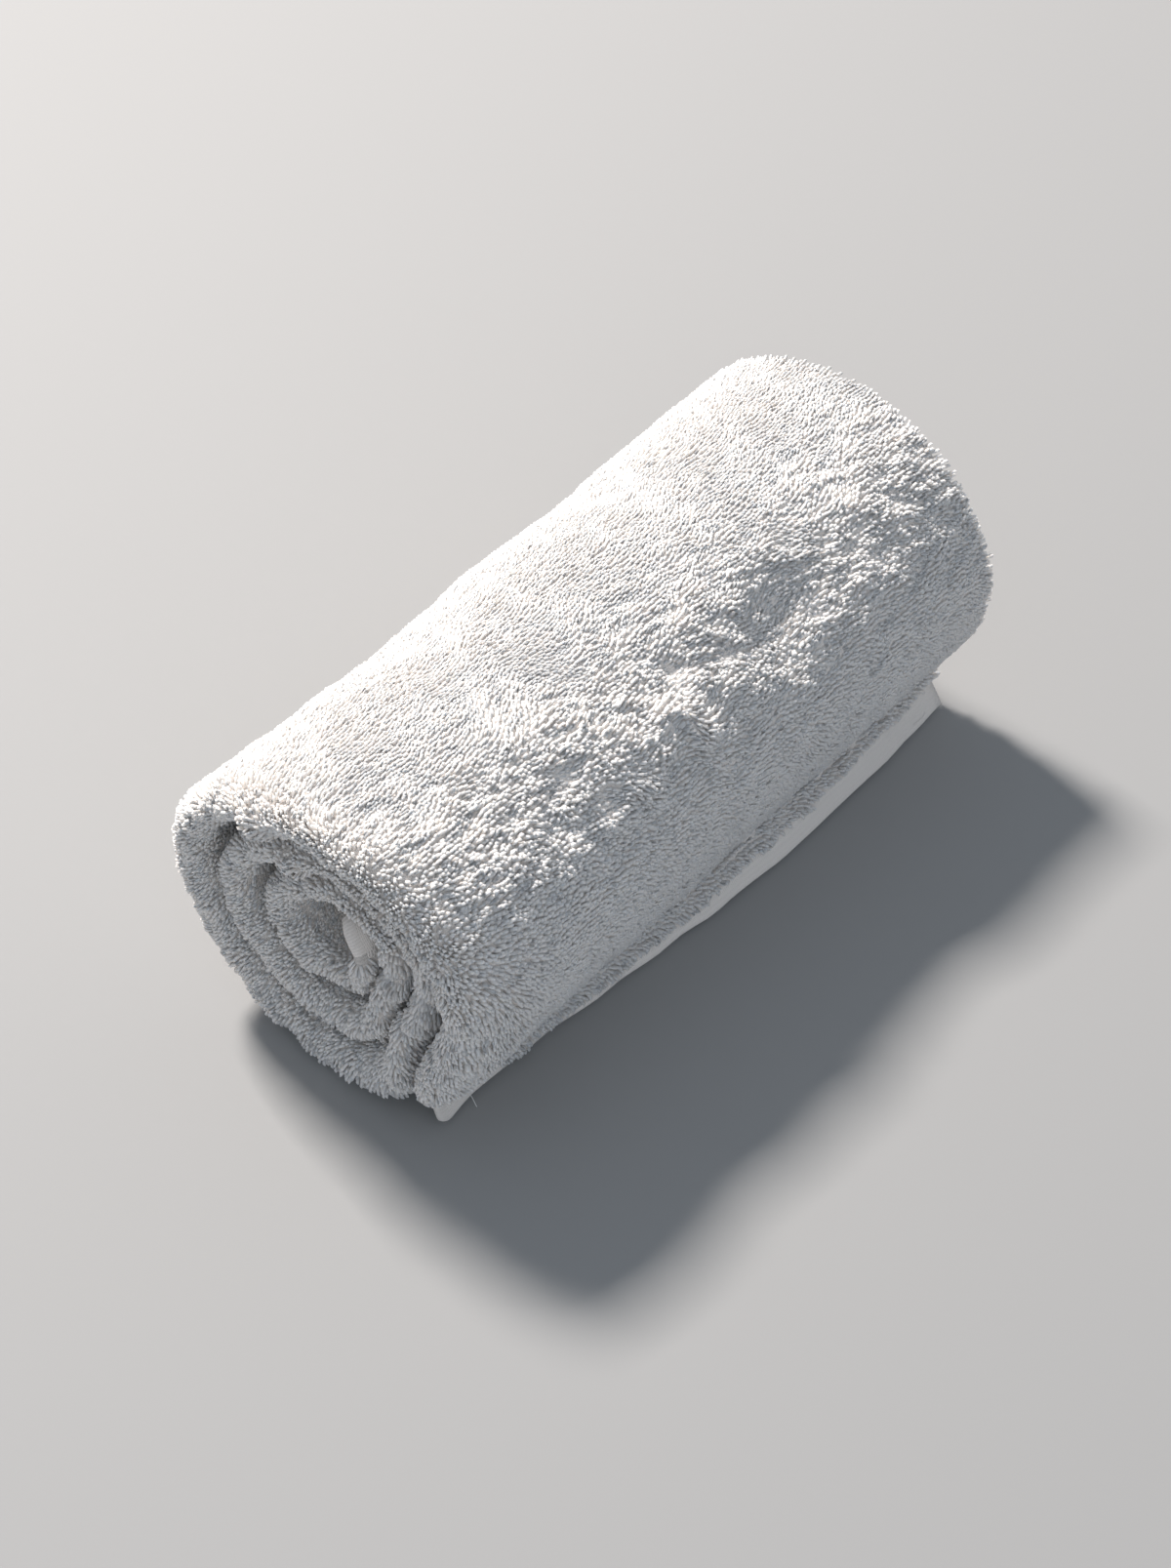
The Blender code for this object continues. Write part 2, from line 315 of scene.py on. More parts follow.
def fold_quarter(along):
    """A quarter turn of the fold, measured on the cloth."""
    return math.pi / 4 * (0.5 + FOLD_ROUND) * at(along, "thick") * FOLD_CLOTH


def layer_width(along):
    """From the fold's end to the open edge, along one layer."""
    start = -ROLL_LENGTH / 2 - at(along, "near") + FOLD_ROUND * at(along, "thick")
    return ROLL_LENGTH / 2 + at(along, "far") - start


def hem_shown(x):
    return eased(HEM_SHOWS, x / MM, "width") * MM


def cloth_point(along, across, lift):
    """Points of the cloth: along it from the loose end, across it from the fold (plus on the
    outer layer, minus on the inner one), and lifted off the level of the pile's tops."""
    thick, angle = at(along, "thick"), at(along, "angle")
    quarter = fold_quarter(along)
    bulge = np.zeros_like(along)
    for fold in RIM_FOLDS:
        near_fold = bell(across / MM - fold.across, fold.reach_across)
        bulge += fold.height * MM * bell(angle - fold.angle, fold.reach_angle) * near_fold
    lift = lift + bulge
    turned = np.clip(across / quarter, -1, 1) * math.pi / 2
    start = -ROLL_LENGTH / 2 - at(along, "near") + FOLD_ROUND * thick
    straight = np.maximum(np.abs(across) - quarter, 0)
    x = start - (FOLD_ROUND * thick + lift) * np.cos(turned) + straight
    shown = hem_shown(x)
    drawn_in = HEM_CREASE.depth * np.minimum(shown, HEM_CREASE.widest)
    drawn_in = drawn_in * bell(along - HEM_CREASE.at * shown, HEM_CREASE.reach * shown)
    swell = PILE_EDGE.out * bell(along - shown - PILE_EDGE.at, PILE_EDGE.reach)
    drawn_in -= swell * (along < SHEET_HEM + shown)
    distance = at(along, "middle") - drawn_in + (thick / 2 + lift) * np.sin(turned)
    turn = np.radians(angle)
    y = -distance * np.cos(turn)
    z = AXIS_HEIGHT + distance * np.sin(turn)
    peep = UNDER_HEM.out * (across < 0) * bell(x / MM - UNDER_HEM.x, UNDER_HEM.reach_x)
    inward = eased(HEM_SWAY, x / MM, "inward") - peep
    y = y + at(along, "sway") * inward * MM
    x, y, z = shaped(x, y, z)
    return np.stack([x, y, np.maximum(z, FLOOR_CLEAR)], axis=1)


MIDDLE = np.array((-2.72, 0.71, 0.0)) * MM  # the middle of the roll's box, from its axis


def hem_width(along, across):
    """How far from the end the pile starts: it hangs over most of the loose end's hem."""
    shown = hem_shown(across - ROLL_LENGTH / 2 - at(along, "near"))
    return np.where((along < CLOTH_LENGTH / 2) & (across > 0), shown, HEM)


def pile_share(along, across):
    """1 where the cloth has its full pile, 0 on the hems, with a short slope between."""
    from_end = np.minimum(along, CLOTH_LENGTH - along)
    return np.clip((from_end - hem_width(along, across)) / HEM_SLOPE + 0.5, 0, 1)


def ground_lift(along, across):
    """How far below the tops of the pile the woven ground lies. A hem is hollow behind its edge."""
    share = pile_share(along, across)
    from_end = np.minimum(along, CLOTH_LENGTH - along)
    room = at(along, "thick") / 2 - GROUND
    width = hem_width(along, across)
    hollow = bell(from_end - HEM_HOLLOW_AT * width, HEM_HOLLOW_REACH * width)
    hem = HEM_LEVEL + HEM_HOLLOW * hollow
    return -np.minimum(hem, room) * (1 - share) - np.minimum(PILE, room) * share


def placed(along, across, lift):
    return cloth_point(along, across, lift) - MIDDLE


def deselect():
    if bpy.context.object and bpy.context.object.mode != "OBJECT":
        bpy.ops.object.mode_set(mode="OBJECT")
    bpy.ops.object.select_all(action="DESELECT")


def only(piece):
    deselect()
    piece.select_set(True)
    bpy.context.view_layer.objects.active = piece


def settled(piece, *finish):
    """A finished piece: its place in its mesh, riding on the roll, in the towel's own finish."""
    only(piece)
    bpy.ops.object.transform_apply(location=True, rotation=True, scale=True)
    piece.data.materials.clear()
    for material in finish:
        piece.data.materials.append(material)
    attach(piece, "root")


def new_group(name, kind, inputs, outputs):
    """A node group with these sockets and their kinds, and its two end nodes."""
    group = bpy.data.node_groups.new(name, kind)
    for way, sockets in (("INPUT", inputs), ("OUTPUT", outputs)):
        for label, socket in sockets.items():
            group.interface.new_socket(label, in_out=way, socket_type="NodeSocket" + socket)
    return group, group.nodes.new("NodeGroupInput"), group.nodes.new("NodeGroupOutput")


def fed(links, node, values):
    """Gives a node's inputs their values, each a plain value or another node's output."""
    for label, value in values.items():
        if isinstance(value, bpy.types.NodeSocket):
            links.new(value, node.inputs[label])
        else:
            node.inputs[label].default_value = value
    return node


def mixed(nodes, links, factor, first, second, blend="MIX"):
    node = nodes.new("ShaderNodeMix")
    node.data_type, node.blend_type = "RGBA", blend
    return fed(links, node, {0: factor, 6: first, 7: second}).outputs[2]


def worked_out(nodes, links, operation, first, second=0.5):
    node = nodes.new("ShaderNodeMath")
    node.operation = operation
    return fed(links, node, {0: first, 1: second}).outputs[0]


def cotton_tone_group():
    """Slow differences of whiteness over the cloth."""
    inputs = {
        "Vector": "Vector", "Yarn": "Color", "Shade": "Color", "Amount": "Float", "Patch": "Float"
    }
    group, start, end = new_group("Cotton Tone", "ShaderNodeTree", inputs, {"Colour": "Color"})
    nodes, links = group.nodes, group.links
    slow = fed(
        links,
        nodes.new("ShaderNodeTexNoise"),
        {"Detail": 4.0, "Vector": start.outputs["Vector"], "Scale": start.outputs["Patch"]},
    )
    weight = worked_out(nodes, links, "MULTIPLY", slow.outputs["Fac"], start.outputs["Amount"])
    colour = mixed(nodes, links, weight, start.outputs["Yarn"], start.outputs["Shade"])
    links.new(colour, end.inputs["Colour"])
    return group


def yarn_twist_group():
    """The twist of cotton yarn, as a height."""
    inputs = {"Vector": "Vector", "Turns": "Float", "Fuzz": "Float"}
    group, start, end = new_group("Yarn Twist", "ShaderNodeTree", inputs, {"Height": "Float"})
    nodes, links = group.nodes, group.links
    twist = nodes.new("ShaderNodeTexWave")
    twist.wave_type, twist.bands_direction = "BANDS", "DIAGONAL"
    where = start.outputs["Vector"]
    turns = start.outputs["Turns"]
    fed(links, twist, {"Distortion": 3.0, "Detail": 1.0, "Vector": where, "Scale": turns})
    fuzz = nodes.new("ShaderNodeTexNoise")
    fed(links, fuzz, {"Scale": 2600.0, "Detail": 3.0, "Vector": where})
    blend = nodes.new("ShaderNodeMix")
    fed(links, blend, {0: start.outputs["Fuzz"], 2: twist.outputs["Fac"], 3: fuzz.outputs["Fac"]})
    links.new(blend.outputs[0], end.inputs["Height"])
    return group


def placed_group(nodes, links, name, values):
    node = nodes.new("ShaderNodeGroup")
    node.node_tree = bpy.data.node_groups[name]
    return fed(links, node, values)


Cotton = namedtuple("Cotton", "material nodes links shader where tone")


def cotton_material(name, colours, roughness, sheen):
    """A Principled material with cotton's sheen, and the parts that the caller works on."""
    material = bpy.data.materials.new(name)
    material.use_nodes = True
    nodes, links = material.node_tree.nodes, material.node_tree.links
    shader = nodes["Principled BSDF"]
    fed(links, shader, {"Roughness": roughness, "Specular IOR Level": 0.25})
    fed(links, shader, {"Sheen Weight": sheen, "Sheen Roughness": 0.5})
    where = nodes.new("ShaderNodeTexCoord")
    values = {"Yarn": colours.yarn, "Shade": colours.shade, "Amount": 0.35, "Patch": 60.0}
    tone = placed_group(nodes, links, "Cotton Tone", values)
    links.new(where.outputs["Object"], tone.inputs["Vector"])
    return Cotton(material, nodes, links, shader, where, tone)


def attribute(nodes, name):
    node = nodes.new("ShaderNodeAttribute")
    node.attribute_name = name
    return node.outputs["Fac"]


def bumped(cotton, height, strength, distance, invert=False):
    """Turns a height into relief on the cotton."""
    bump = cotton.nodes.new("ShaderNodeBump")
    bump.invert = invert
    fed(cotton.links, bump, {"Strength": strength, "Distance": distance, "Height": height})
    cotton.links.new(bump.outputs["Normal"], cotton.shader.inputs["Normal"])


def weave_places(cotton, along, across):
    """The cloth's own coordinates, counted in threads of these sizes."""
    weave = cotton.nodes.new("ShaderNodeMapping")
    threads = (CLOTH_LENGTH / along, CLOTH_WIDTH / across, 1.0)
    fed(cotton.links, weave, {"Scale": threads, "Vector": cotton.where.outputs["UV"]})
    return weave.outputs["Vector"]


def loop_material(colours):
    """Cotton loops: twisted yarn, with painted shade that makes them a little darker and warmer
    towards the roots.
    """
    cotton = cotton_material("terry_loops", colours, 0.82, 0.35)
    material, nodes, links, shader, where, tone = cotton
    radius = (1.0, 0.85, 0.72)
    fed(links, shader, {"Subsurface Weight": 0.7, "Subsurface Radius": radius})
    fed(links, shader, {"Subsurface Scale": 3.0 * MM})
    # painted shade: towards its root each loop takes the roots' colour, standing in for the shade
    # deep in the pile
    rise = nodes.new("ShaderNodeMapRange")
    fed(links, rise, {"From Min": 0.0, "From Max": 0.8, "Value": attribute(nodes, "rise")})
    colour = mixed(nodes, links, rise.outputs["Result"], colours.root, tone.outputs["Colour"])
    lighter = nodes.new("ShaderNodeMapRange")
    fed(links, lighter, {"To Min": 0.93, "To Max": 1.0, "Value": attribute(nodes, "tone")})
    colour = mixed(nodes, links, 1.0, colour, lighter.outputs["Result"], "MULTIPLY")
    links.new(colour, shader.inputs["Base Color"])
    values = {"Turns": 620.0, "Fuzz": 0.45, "Vector": where.outputs["Object"]}
    twist = placed_group(nodes, links, "Yarn Twist", values)
    bumped(cotton, twist.outputs["Height"], 0.35, 0.12 * MM)
    return material


def ground_material(colours):
    """The woven ground, with the rows that its loops stand in, and painted shade in the roots'
    colour towards the edges of its cells.
    """
    cotton = cotton_material("terry_ground", colours, 0.9, 0.25)
    material, nodes, links, shader, where, tone = cotton
    cells = nodes.new("ShaderNodeTexVoronoi")
    cells.voronoi_dimensions = "2D"
    places = weave_places(cotton, LOOP_CELL, LOOP_CELL)
    fed(links, cells, {"Scale": 1.0, "Randomness": 0.55, "Vector": places})
    # painted shade: the ground darkens to the roots' colour away from its cells' middles, where the
    # pile shades it
    colour = mixed(nodes, links, cells.outputs["Distance"], tone.outputs["Colour"], colours.root)
    links.new(colour, shader.inputs["Base Color"])
    bumped(cotton, cells.outputs["Distance"], 0.9, 0.6 * MM, invert=True)
    return material


def hem_material(colours):
    """The flat-woven hems: fine ribs across the band and plain threads along it."""
    cotton = cotton_material("hem_weave", colours, 0.85, 0.2)
    material, nodes, links, shader, where, tone = cotton
    split = nodes.new("ShaderNodeSeparateXYZ")
    links.new(weave_places(cotton, HEM_RIB, HEM_THREAD), split.inputs[0])
    waves = []
    for axis in range(2):
        turns = worked_out(nodes, links, "MULTIPLY", split.outputs[axis], 2 * math.pi)
        waves.append(worked_out(nodes, links, "SINE", turns))
    # painted shade: the hems are dimmed half way to the roots' colour, as if in shade
    colour = mixed(nodes, links, 0.5, tone.outputs["Colour"], colours.root)
    links.new(colour, shader.inputs["Base Color"])
    bumped(cotton, worked_out(nodes, links, "MAXIMUM", *waves), 0.5, 0.15 * MM)
    return material


def grid_piece(name, steps_along, steps_across):
    """A flat grid to be laid on the cloth, and each point's place in it from 0 to 1."""
    deselect()
    bpy.ops.mesh.primitive_grid_add(x_subdivisions=steps_along, y_subdivisions=steps_across, size=1)
    piece = bpy.context.object
    piece.name = piece.data.name = name
    flat = np.empty(len(piece.data.vertices) * 3)
    piece.data.vertices.foreach_get("co", flat)
    return piece, flat.reshape(-1, 3)[:, :2] + 0.5


def model_sheet(name):
    """The cloth from end to end, and from open edge to open edge round the fold."""
    steps = SHEET_STEPS_HEM + round((CLOTH_LENGTH - SHEET_HEM) / SHEET_STEP_ALONG)
    steps_across = 2 * SHEET_STEPS_LAYER + SHEET_STEPS_FOLD
    piece, share = grid_piece(name, steps, steps_across)
    along = np.interp(
        share[:, 0] * steps, (0, SHEET_STEPS_HEM, steps), (0, SHEET_HEM, CLOTH_LENGTH)
    )
    step = (share[:, 1] - 0.5) * steps_across
    in_fold = SHEET_STEPS_FOLD / 2
    past = np.clip((np.abs(step) - in_fold) / SHEET_STEPS_LAYER, 0, 1)
    across = np.clip(step / in_fold, -1, 1) * fold_quarter(along)
    across += np.sign(step) * past * layer_width(along)
    points = placed(along, across, ground_lift(along, across))
    piece.data.vertices.foreach_set("co", points.ravel())
    corners = np.empty(len(piece.data.loops), dtype=np.int32)
    piece.data.loops.foreach_get("vertex_index", corners)
    flat = np.stack([along / CLOTH_LENGTH, share[:, 1]], axis=1)[corners]
    piece.data.uv_layers.active.data.foreach_set("uv", flat.ravel())
    woven = piece.data.attributes.new("pile", "FLOAT", "POINT")
    woven.data.foreach_set("value", pile_share(along, across))
    piece.data.update()
    only(piece)
    thicken = piece.modifiers.new("ground", "SOLIDIFY")
    thicken.thickness = GROUND
    thicken.offset = -1.0
    bpy.ops.object.modifier_apply(modifier=thicken.name)
    bpy.ops.object.shade_smooth()
    return piece


LoopStep = namedtuple("LoopStep", "forward up swell")
LOOP = (  # how a loop of yarn rises from its root, in millimetres, and how its thickness changes
    LoopStep(forward=0.20, up=1.6, swell=1.40),
    LoopStep(forward=0.55, up=1.2, swell=0.98),
    LoopStep(forward=0.40, up=0.2, swell=0.0),
)
LOOP_ROOT = 0.42 * MM
LOOP_HEIGHT = sum(step.up for step in LOOP) * MM


def model_loop():
    """One loop of yarn as a three-sided strand that rises, bends over and closes at its tip."""
    deselect()
    bpy.ops.mesh.primitive_circle_add(vertices=3, radius=LOOP_ROOT)
    loop = bpy.context.object
    loop.name = loop.data.name = "yarn_loop"
    bpy.ops.object.mode_set(mode="EDIT")
    for step in LOOP:
        move = {"value": (step.forward * MM, 0, step.up * MM)}
        bpy.ops.mesh.extrude_region_move(TRANSFORM_OT_translate=move)
        if step.swell:
            bpy.ops.transform.resize(value=(step.swell,) * 3)
        else:
            bpy.ops.mesh.merge(type="CENTER")
    bpy.ops.mesh.select_all(action="SELECT")
    bpy.ops.mesh.normals_make_consistent(inside=False)
    bpy.ops.mesh.quads_convert_to_tris()
    bpy.ops.object.mode_set(mode="OBJECT")
    bpy.ops.object.shade_smooth()
    rise = loop.data.attributes.new("rise", "FLOAT", "POINT")
    heights = [min(1.0, vert.co.z / LOOP_HEIGHT) for vert in loop.data.vertices]
    rise.data.foreach_set("value", heights)
    return loop


def planting_group(model):
    """Geometry nodes that set a copy of the model on every point, turned and sized, as mesh."""
    sockets = {"Geometry": "Geometry"}
    group, start, end = new_group("Planting", "GeometryNodeTree", sockets, sockets)
    nodes, links = group.nodes, group.links
    plant = nodes.new("GeometryNodeInstanceOnPoints")
    real = nodes.new("GeometryNodeRealizeInstances")
    info = nodes.new("GeometryNodeObjectInfo")
    info.inputs["Object"].default_value = model
    fields = {}
    for name in ("turn", "stretch"):
        field = nodes.new("GeometryNodeInputNamedAttribute")
        field.data_type = "FLOAT_VECTOR"
        field.inputs["Name"].default_value = name
        fields[name] = field.outputs["Attribute"]
    rotation = nodes.new("FunctionNodeEulerToRotation")
    links.new(fields["turn"], rotation.inputs[0])
    links.new(start.outputs["Geometry"], plant.inputs["Points"])
    links.new(info.outputs["Geometry"], plant.inputs["Instance"])
    links.new(rotation.outputs[0], plant.inputs["Rotation"])
    links.new(fields["stretch"], plant.inputs["Scale"])
    links.new(plant.outputs["Instances"], real.inputs["Geometry"])
    links.new(real.outputs["Geometry"], end.inputs["Geometry"])
    return group


def eulers(forward, up):
    """The turns that point a model's X forward and its Z up, one for each row."""
    up = up / np.linalg.norm(up, axis=1, keepdims=True)
    forward = forward - up * np.sum(forward * up, axis=1, keepdims=True)
    forward /= np.linalg.norm(forward, axis=1, keepdims=True)
    side = np.cross(up, forward)
    return np.stack(
        [
            np.arctan2(side[:, 2], up[:, 2]),
            -np.arcsin(np.clip(forward[:, 2], -1, 1)),
            np.arctan2(forward[:, 1], forward[:, 0]),
        ],
        axis=1,
    )


def plant(name, points, turns, stretches, tones, group):
    """One piece of pile: the group's model on each of the points."""
    mesh = bpy.data.meshes.new(name)
    mesh.vertices.add(len(points))
    mesh.vertices.foreach_set("co", points.ravel())
    for label, values in (("turn", turns), ("stretch", stretches)):
        column = mesh.attributes.new(label, "FLOAT_VECTOR", "POINT")
        column.data.foreach_set("vector", values.ravel())
    mesh.attributes.new("tone", "FLOAT", "POINT").data.foreach_set("value", tones)
    piece = bpy.data.objects.new(name, mesh)
    bpy.context.scene.collection.objects.link(piece)
    only(piece)
    modifier = piece.modifiers.new("planting", "NODES")
    modifier.node_group = group
    bpy.ops.object.modifier_apply(modifier=modifier.name)
    for label in ("turn", "stretch"):
        piece.data.attributes.remove(piece.data.attributes[label])
    height = np.empty(len(piece.data.vertices) * 3)
    piece.data.vertices.foreach_get("co", height)
    height[2::3] = np.maximum(height[2::3], FLOOR_CLEAR)
    piece.data.vertices.foreach_set("co", height)
    return piece


Bed = namedtuple("Bed", "name start end over row_gaps loop_gaps")
BEDS = (  # angles that the pile runs between, and its gaps, in those of the panel
    Bed(name="pile_lower_side", start=-47.4, end=30, over="layer", row_gaps=1, loop_gaps=1),
    Bed(name="pile_top", start=30, end=100, over="layer", row_gaps=1, loop_gaps=1),
    Bed(name="pile_far_side", start=100, end=205, over="layer", row_gaps=1.1, loop_gaps=1.1),
    Bed(name="pile_underside", start=205, end=322, over="layer", row_gaps=1.4, loop_gaps=1.35),
    Bed(name="pile_folded_end_outer", start=-47.4, end=322, over="fold", row_gaps=1, loop_gaps=1),
    Bed("pile_folded_end_inner", start=322, end=1110, over="fold", row_gaps=1.05, loop_gaps=1.1),
)
FOLD_PILE_INSIDE = 9 * MM  # how far past the fold its pile runs on the inner layer
FOLD_PILE_OUTSIDE = 7 * MM  # and on the outer layer, once that is inside the roll
HIDDEN_FROM = 322  # the angle where that begins
FIRST_SEED = 100
ROW_SCATTER, LOOP_SCATTER = 0.16, 0.20  # how far out of place loops stand, in gaps


def planted_places(bed, pile, seed):
    """Staggered rows of loops over a bed, each a little out of place."""
    draw = np.random.default_rng(seed)
    row_gap, loop_gap = bed.row_gaps * pile.row_gap, bed.loop_gaps * pile.loop_gap
    places = []
    for number, along in enumerate(np.arange(along_at(bed.start), along_at(bed.end), row_gap)):
        quarter = float(fold_quarter(along))
        if bed.over == "layer":
            low, high = quarter, quarter + float(layer_width(along))
        else:
            low, high = -(quarter + FOLD_PILE_INSIDE), quarter
            if along > along_at(HIDDEN_FROM):
                high += FOLD_PILE_OUTSIDE
        across = np.arange(low + loop_gap * (number % 2) / 2, high, loop_gap)
        places.append(np.stack([np.full(len(across), along), across], axis=1))
    places = np.concatenate(places)
    places[:, 0] += draw.normal(0, ROW_SCATTER, len(places)) * row_gap
    places[:, 1] += draw.normal(0, LOOP_SCATTER, len(places)) * loop_gap
    return places[:, 0], places[:, 1], draw


Comb = namedtuple("Comb", "x angle reach_x reach_angle along down")
COMBS = (  # places where the pile is combed another way: along the roll, and down its side
    Comb(x=-10, angle=37, reach_x=5, reach_angle=7, along=0.1, down=1.0),
    Comb(x=-19, angle=41, reach_x=5, reach_angle=5, along=1.0, down=-0.3),
    Comb(x=0, angle=38, reach_x=5, reach_angle=5, along=0.8, down=-0.7),
    Comb(x=-40, angle=34, reach_x=8, reach_angle=7, along=0.3, down=1.0),
    Comb(x=-120, angle=-2, reach_x=12, reach_angle=22, along=-0.2, down=0.9),
)


Waves = namedtuple("Waves", "size height seed")
LEANS = Waves(size=7 * MM, height=0.2, seed=35)  # how far the loops lean, from place to place
HEIGHTS = Waves(size=6 * MM, height=0.15, seed=34)
CLUMPS = Waves(size=6 * MM, height=0.2, seed=40)  # how loops lean together, in each direction
TURNS = (  # how the pile's lie turns from place to place, in radians
    Waves(size=42 * MM, height=0.35, seed=31),
    Waves(size=12 * MM, height=0.30, seed=32),
)


def wavy(points, waves, turn=0):
    return waves.height * ripple(points, waves.size, waves.seed + turn)


def combed(points, forward):
    """The pile's lie with its slow and quick turns and its combed places, and how combed it is."""
    turn = sum(wavy(points, waves) for waves in TURNS)
    outward = points + MIDDLE - (0, 0, AXIS_HEIGHT)
    outward[:, 0] = 0
    side = np.cross(outward, forward)
    side /= np.maximum(np.linalg.norm(side, axis=1, keepdims=True), 1e-9)
    forward = forward * np.cos(turn)[:, None] + side * np.sin(turn)[:, None]
    turn = np.arctan2(outward[:, 2], -outward[:, 1])
    down = np.stack([np.zeros(len(turn)), -np.sin(turn), -np.cos(turn)], axis=1)
    drawn = np.zeros(len(points))
    for comb in COMBS:
        share = bell((points[:, 0] + MIDDLE[0]) / MM - comb.x, comb.reach_x)
        share *= bell(np.degrees(turn) - comb.angle, comb.reach_angle)
        way = comb.down * down + (comb.along, 0, 0)
        forward = forward * (1 - share)[:, None] + way * share[:, None]
        drawn = np.maximum(drawn, share)
    return forward, drawn


FLARE = 8 * MM  # over which the loops of the loose end turn upright on its own surface
PILE_OVER_HEM = 5 * MM  # how far from its edge the pile is combed over the hem
CALM_FROM = 0.6  # where the outside's calm pile begins, in quarter turns of the fold
Pressed = namedtuple("Pressed", "angle reach edge")
PRESSED = Pressed(angle=-12, reach=30, edge=6)  # the lower side's pile lies flat
Smooth = namedtuple("Smooth", "angle rise")
SMOOTH = Smooth(angle=52, rise=26)  # the top's pile lies even
CALM = 0.6  # how much of the unevenness both lose
Standing = namedtuple("Standing", "angle reach_angle x rise_x")
STANDING = Standing(angle=32, reach_angle=20, x=-20, rise_x=40)  # upright loops by the folded end
Fringe = namedtuple("Fringe", "angle reach_angle at reach")
FRINGE = Fringe(angle=280, reach_angle=38, at=0.3, reach=0.7)  # at and reach in quarter turns
STREAKS = (0.45, 1, 1)  # unevenness is drawn out along the roll
Lie = namedtuple("Lie", "even pressed smooth combed standing over_hem single")
LIE = Lie(  # how far the loops lean, 0 for upright and 1 for half-way down
    even=0.5, pressed=0.35, smooth=0.3, combed=0.4, standing=-0.38, over_hem=-0.45, single=0.10
)
Tall = namedtuple("Tall", "even single combed fringe over_hem in_crevice least most")
TALL = Tall(  # how tall they are, 1 for the pile's own height
    even=1.05, single=0.07, combed=0.3, fringe=0.55, over_hem=0.15, in_crevice=0.7,
    least=0.4, most=1.9,
)
WIDE, WIDE_STANDING = (1.05, 1.3), 0.2
PLANTED = 0.3  # the least share of the full pile that has loops


def loop_ways(along, across):
    """Each loop's root, and the ways up, towards the open edges and towards the hem."""
    ground = ground_lift(along, across)
    roots = placed(along, across, ground)
    up = placed(along, across, ground + NUDGE) - roots
    forward = placed(along, across + NUDGE, ground) - roots
    hemward = placed(along - NUDGE, across, ground) - roots
    for way in (up, forward, hemward):
        way /= np.maximum(np.linalg.norm(way, axis=1, keepdims=True), 1e-9)
    upright = np.cross(forward, hemward)
    upright *= np.sign(np.sum(upright * up, axis=1, keepdims=True))
    flared = np.clip((along_at(LOOSE_ANGLE) - along) / FLARE, 0, 1)[:, None]
    return roots, up * (1 - flared) + upright * flared, forward, hemward


def model_pile(bed, pile, seed, group):
    """One bed of loops, each with its own lie, height, width and tone."""
    along, across, draw = planted_places(bed, pile, seed)
    count, quarter = len(along), fold_quarter(along)
    roots, up, forward, hemward = loop_ways(along, across)
    forward, drawn = combed(roots, forward)
    over_hem = bell(along - hem_width(along, across), PILE_OVER_HEM) * (across > 0)
    forward += (hemward - forward) * over_hem[:, None]
    x = (roots[:, 0] + MIDDLE[0]) / MM
    angle = np.degrees(np.arctan2(roots[:, 2] - AXIS_HEIGHT, -roots[:, 1]))
    outside = np.clip(across / quarter - CALM_FROM, 0, 1)
    pressed = (np.abs(angle - PRESSED.angle) - PRESSED.reach) / PRESSED.edge
    pressed = outside / (1 + np.exp(pressed))
    smooth = outside * np.clip((angle - SMOOTH.angle) / SMOOTH.rise, 0, 1)
    unruly = 1 - CALM * np.maximum(pressed, smooth)
    streaked = roots * STREAKS
    standing = bell(angle - STANDING.angle, STANDING.reach_angle)
    standing *= np.clip((STANDING.x - x) / STANDING.rise_x, 0, 1)
    lie = LIE.even + LIE.pressed * pressed + LIE.smooth * smooth + LIE.combed * drawn
    lie += LIE.standing * standing + LIE.over_hem * over_hem
    lie += wavy(streaked, LEANS) * unruly
    clump = np.stack([wavy(streaked, CLUMPS, side) for side in range(3)], axis=1)
    lean = draw.normal(0, LIE.single, (count, 3)) + clump
    turns = eulers(forward, up + forward * lie[:, None] + lean * unruly[:, None])
    uneven = wavy(streaked, HEIGHTS) + draw.normal(0, TALL.single, count)
    tall = TALL.even + uneven * unruly + TALL.combed * drawn
    fringed = bell(at(along, "angle") - FRINGE.angle, FRINGE.reach_angle)
    fringed *= bell(across / quarter - FRINGE.at, FRINGE.reach)
    tall *= 1 + TALL.fringe * fringed * draw.uniform(0, 1, count)
    in_crevice = (along > along_at(TUCK_END)) & (across > quarter) | (across < -quarter)
    tall *= (1 + TALL.over_hem * over_hem) * np.where(in_crevice, TALL.in_crevice, 1.0)
    tall = np.clip(tall * pile.pile_height / LOOP_HEIGHT, TALL.least, TALL.most)
    wide = draw.uniform(*WIDE, count) * (1 + WIDE_STANDING * standing)
    stretches = np.stack([wide, wide, tall], axis=1)
    tones = draw.uniform(0, 1, count)
    keep = pile_share(along, across) > PLANTED
    return plant(bed.name, roots[keep], turns[keep], stretches[keep], tones[keep], group)


# root: the colour of the painted shade deep in the pile, on the loops' roots, the ground and the
# hems
Colours = namedtuple("Colours", "yarn shade root")


def finish_colours(scene):
    towel = scene.terry_towel
    return Colours((*towel.yarn, 1.0), (*towel.shade, 1.0), (*towel.root, 1.0))


def prepare_groups():
    for name, make in (("Cotton Tone", cotton_tone_group), ("Yarn Twist", yarn_twist_group)):
        if name not in bpy.data.node_groups:
            make()


def model_cloth(colours):
    """The whole cloth as one sheet: its pile's ground, and its flat hems at both ends."""
    cloth = model_sheet("towel_cloth")
    settled(cloth, ground_material(colours), hem_material(colours))
    woven = cloth.data.attributes["pile"].data
    for face in cloth.data.polygons:
        face.material_index = int(woven[face.vertices[0]].value < 0.5)
    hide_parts(NODE)


STITCH = 2.6 * MM
STITCH_HALF_THICK = (0.22 * MM, 0.2 * MM)
STITCH_PITCH = 3.2 * MM
STITCH_LIFT = 0.1 * MM  # from the woven ground to the middle of its thread
STITCH_LINE = 10.5 * MM  # from the hem's edge
STITCH_STOP = 3 * MM  # from the towel's side edge
STITCH_SEED = 71


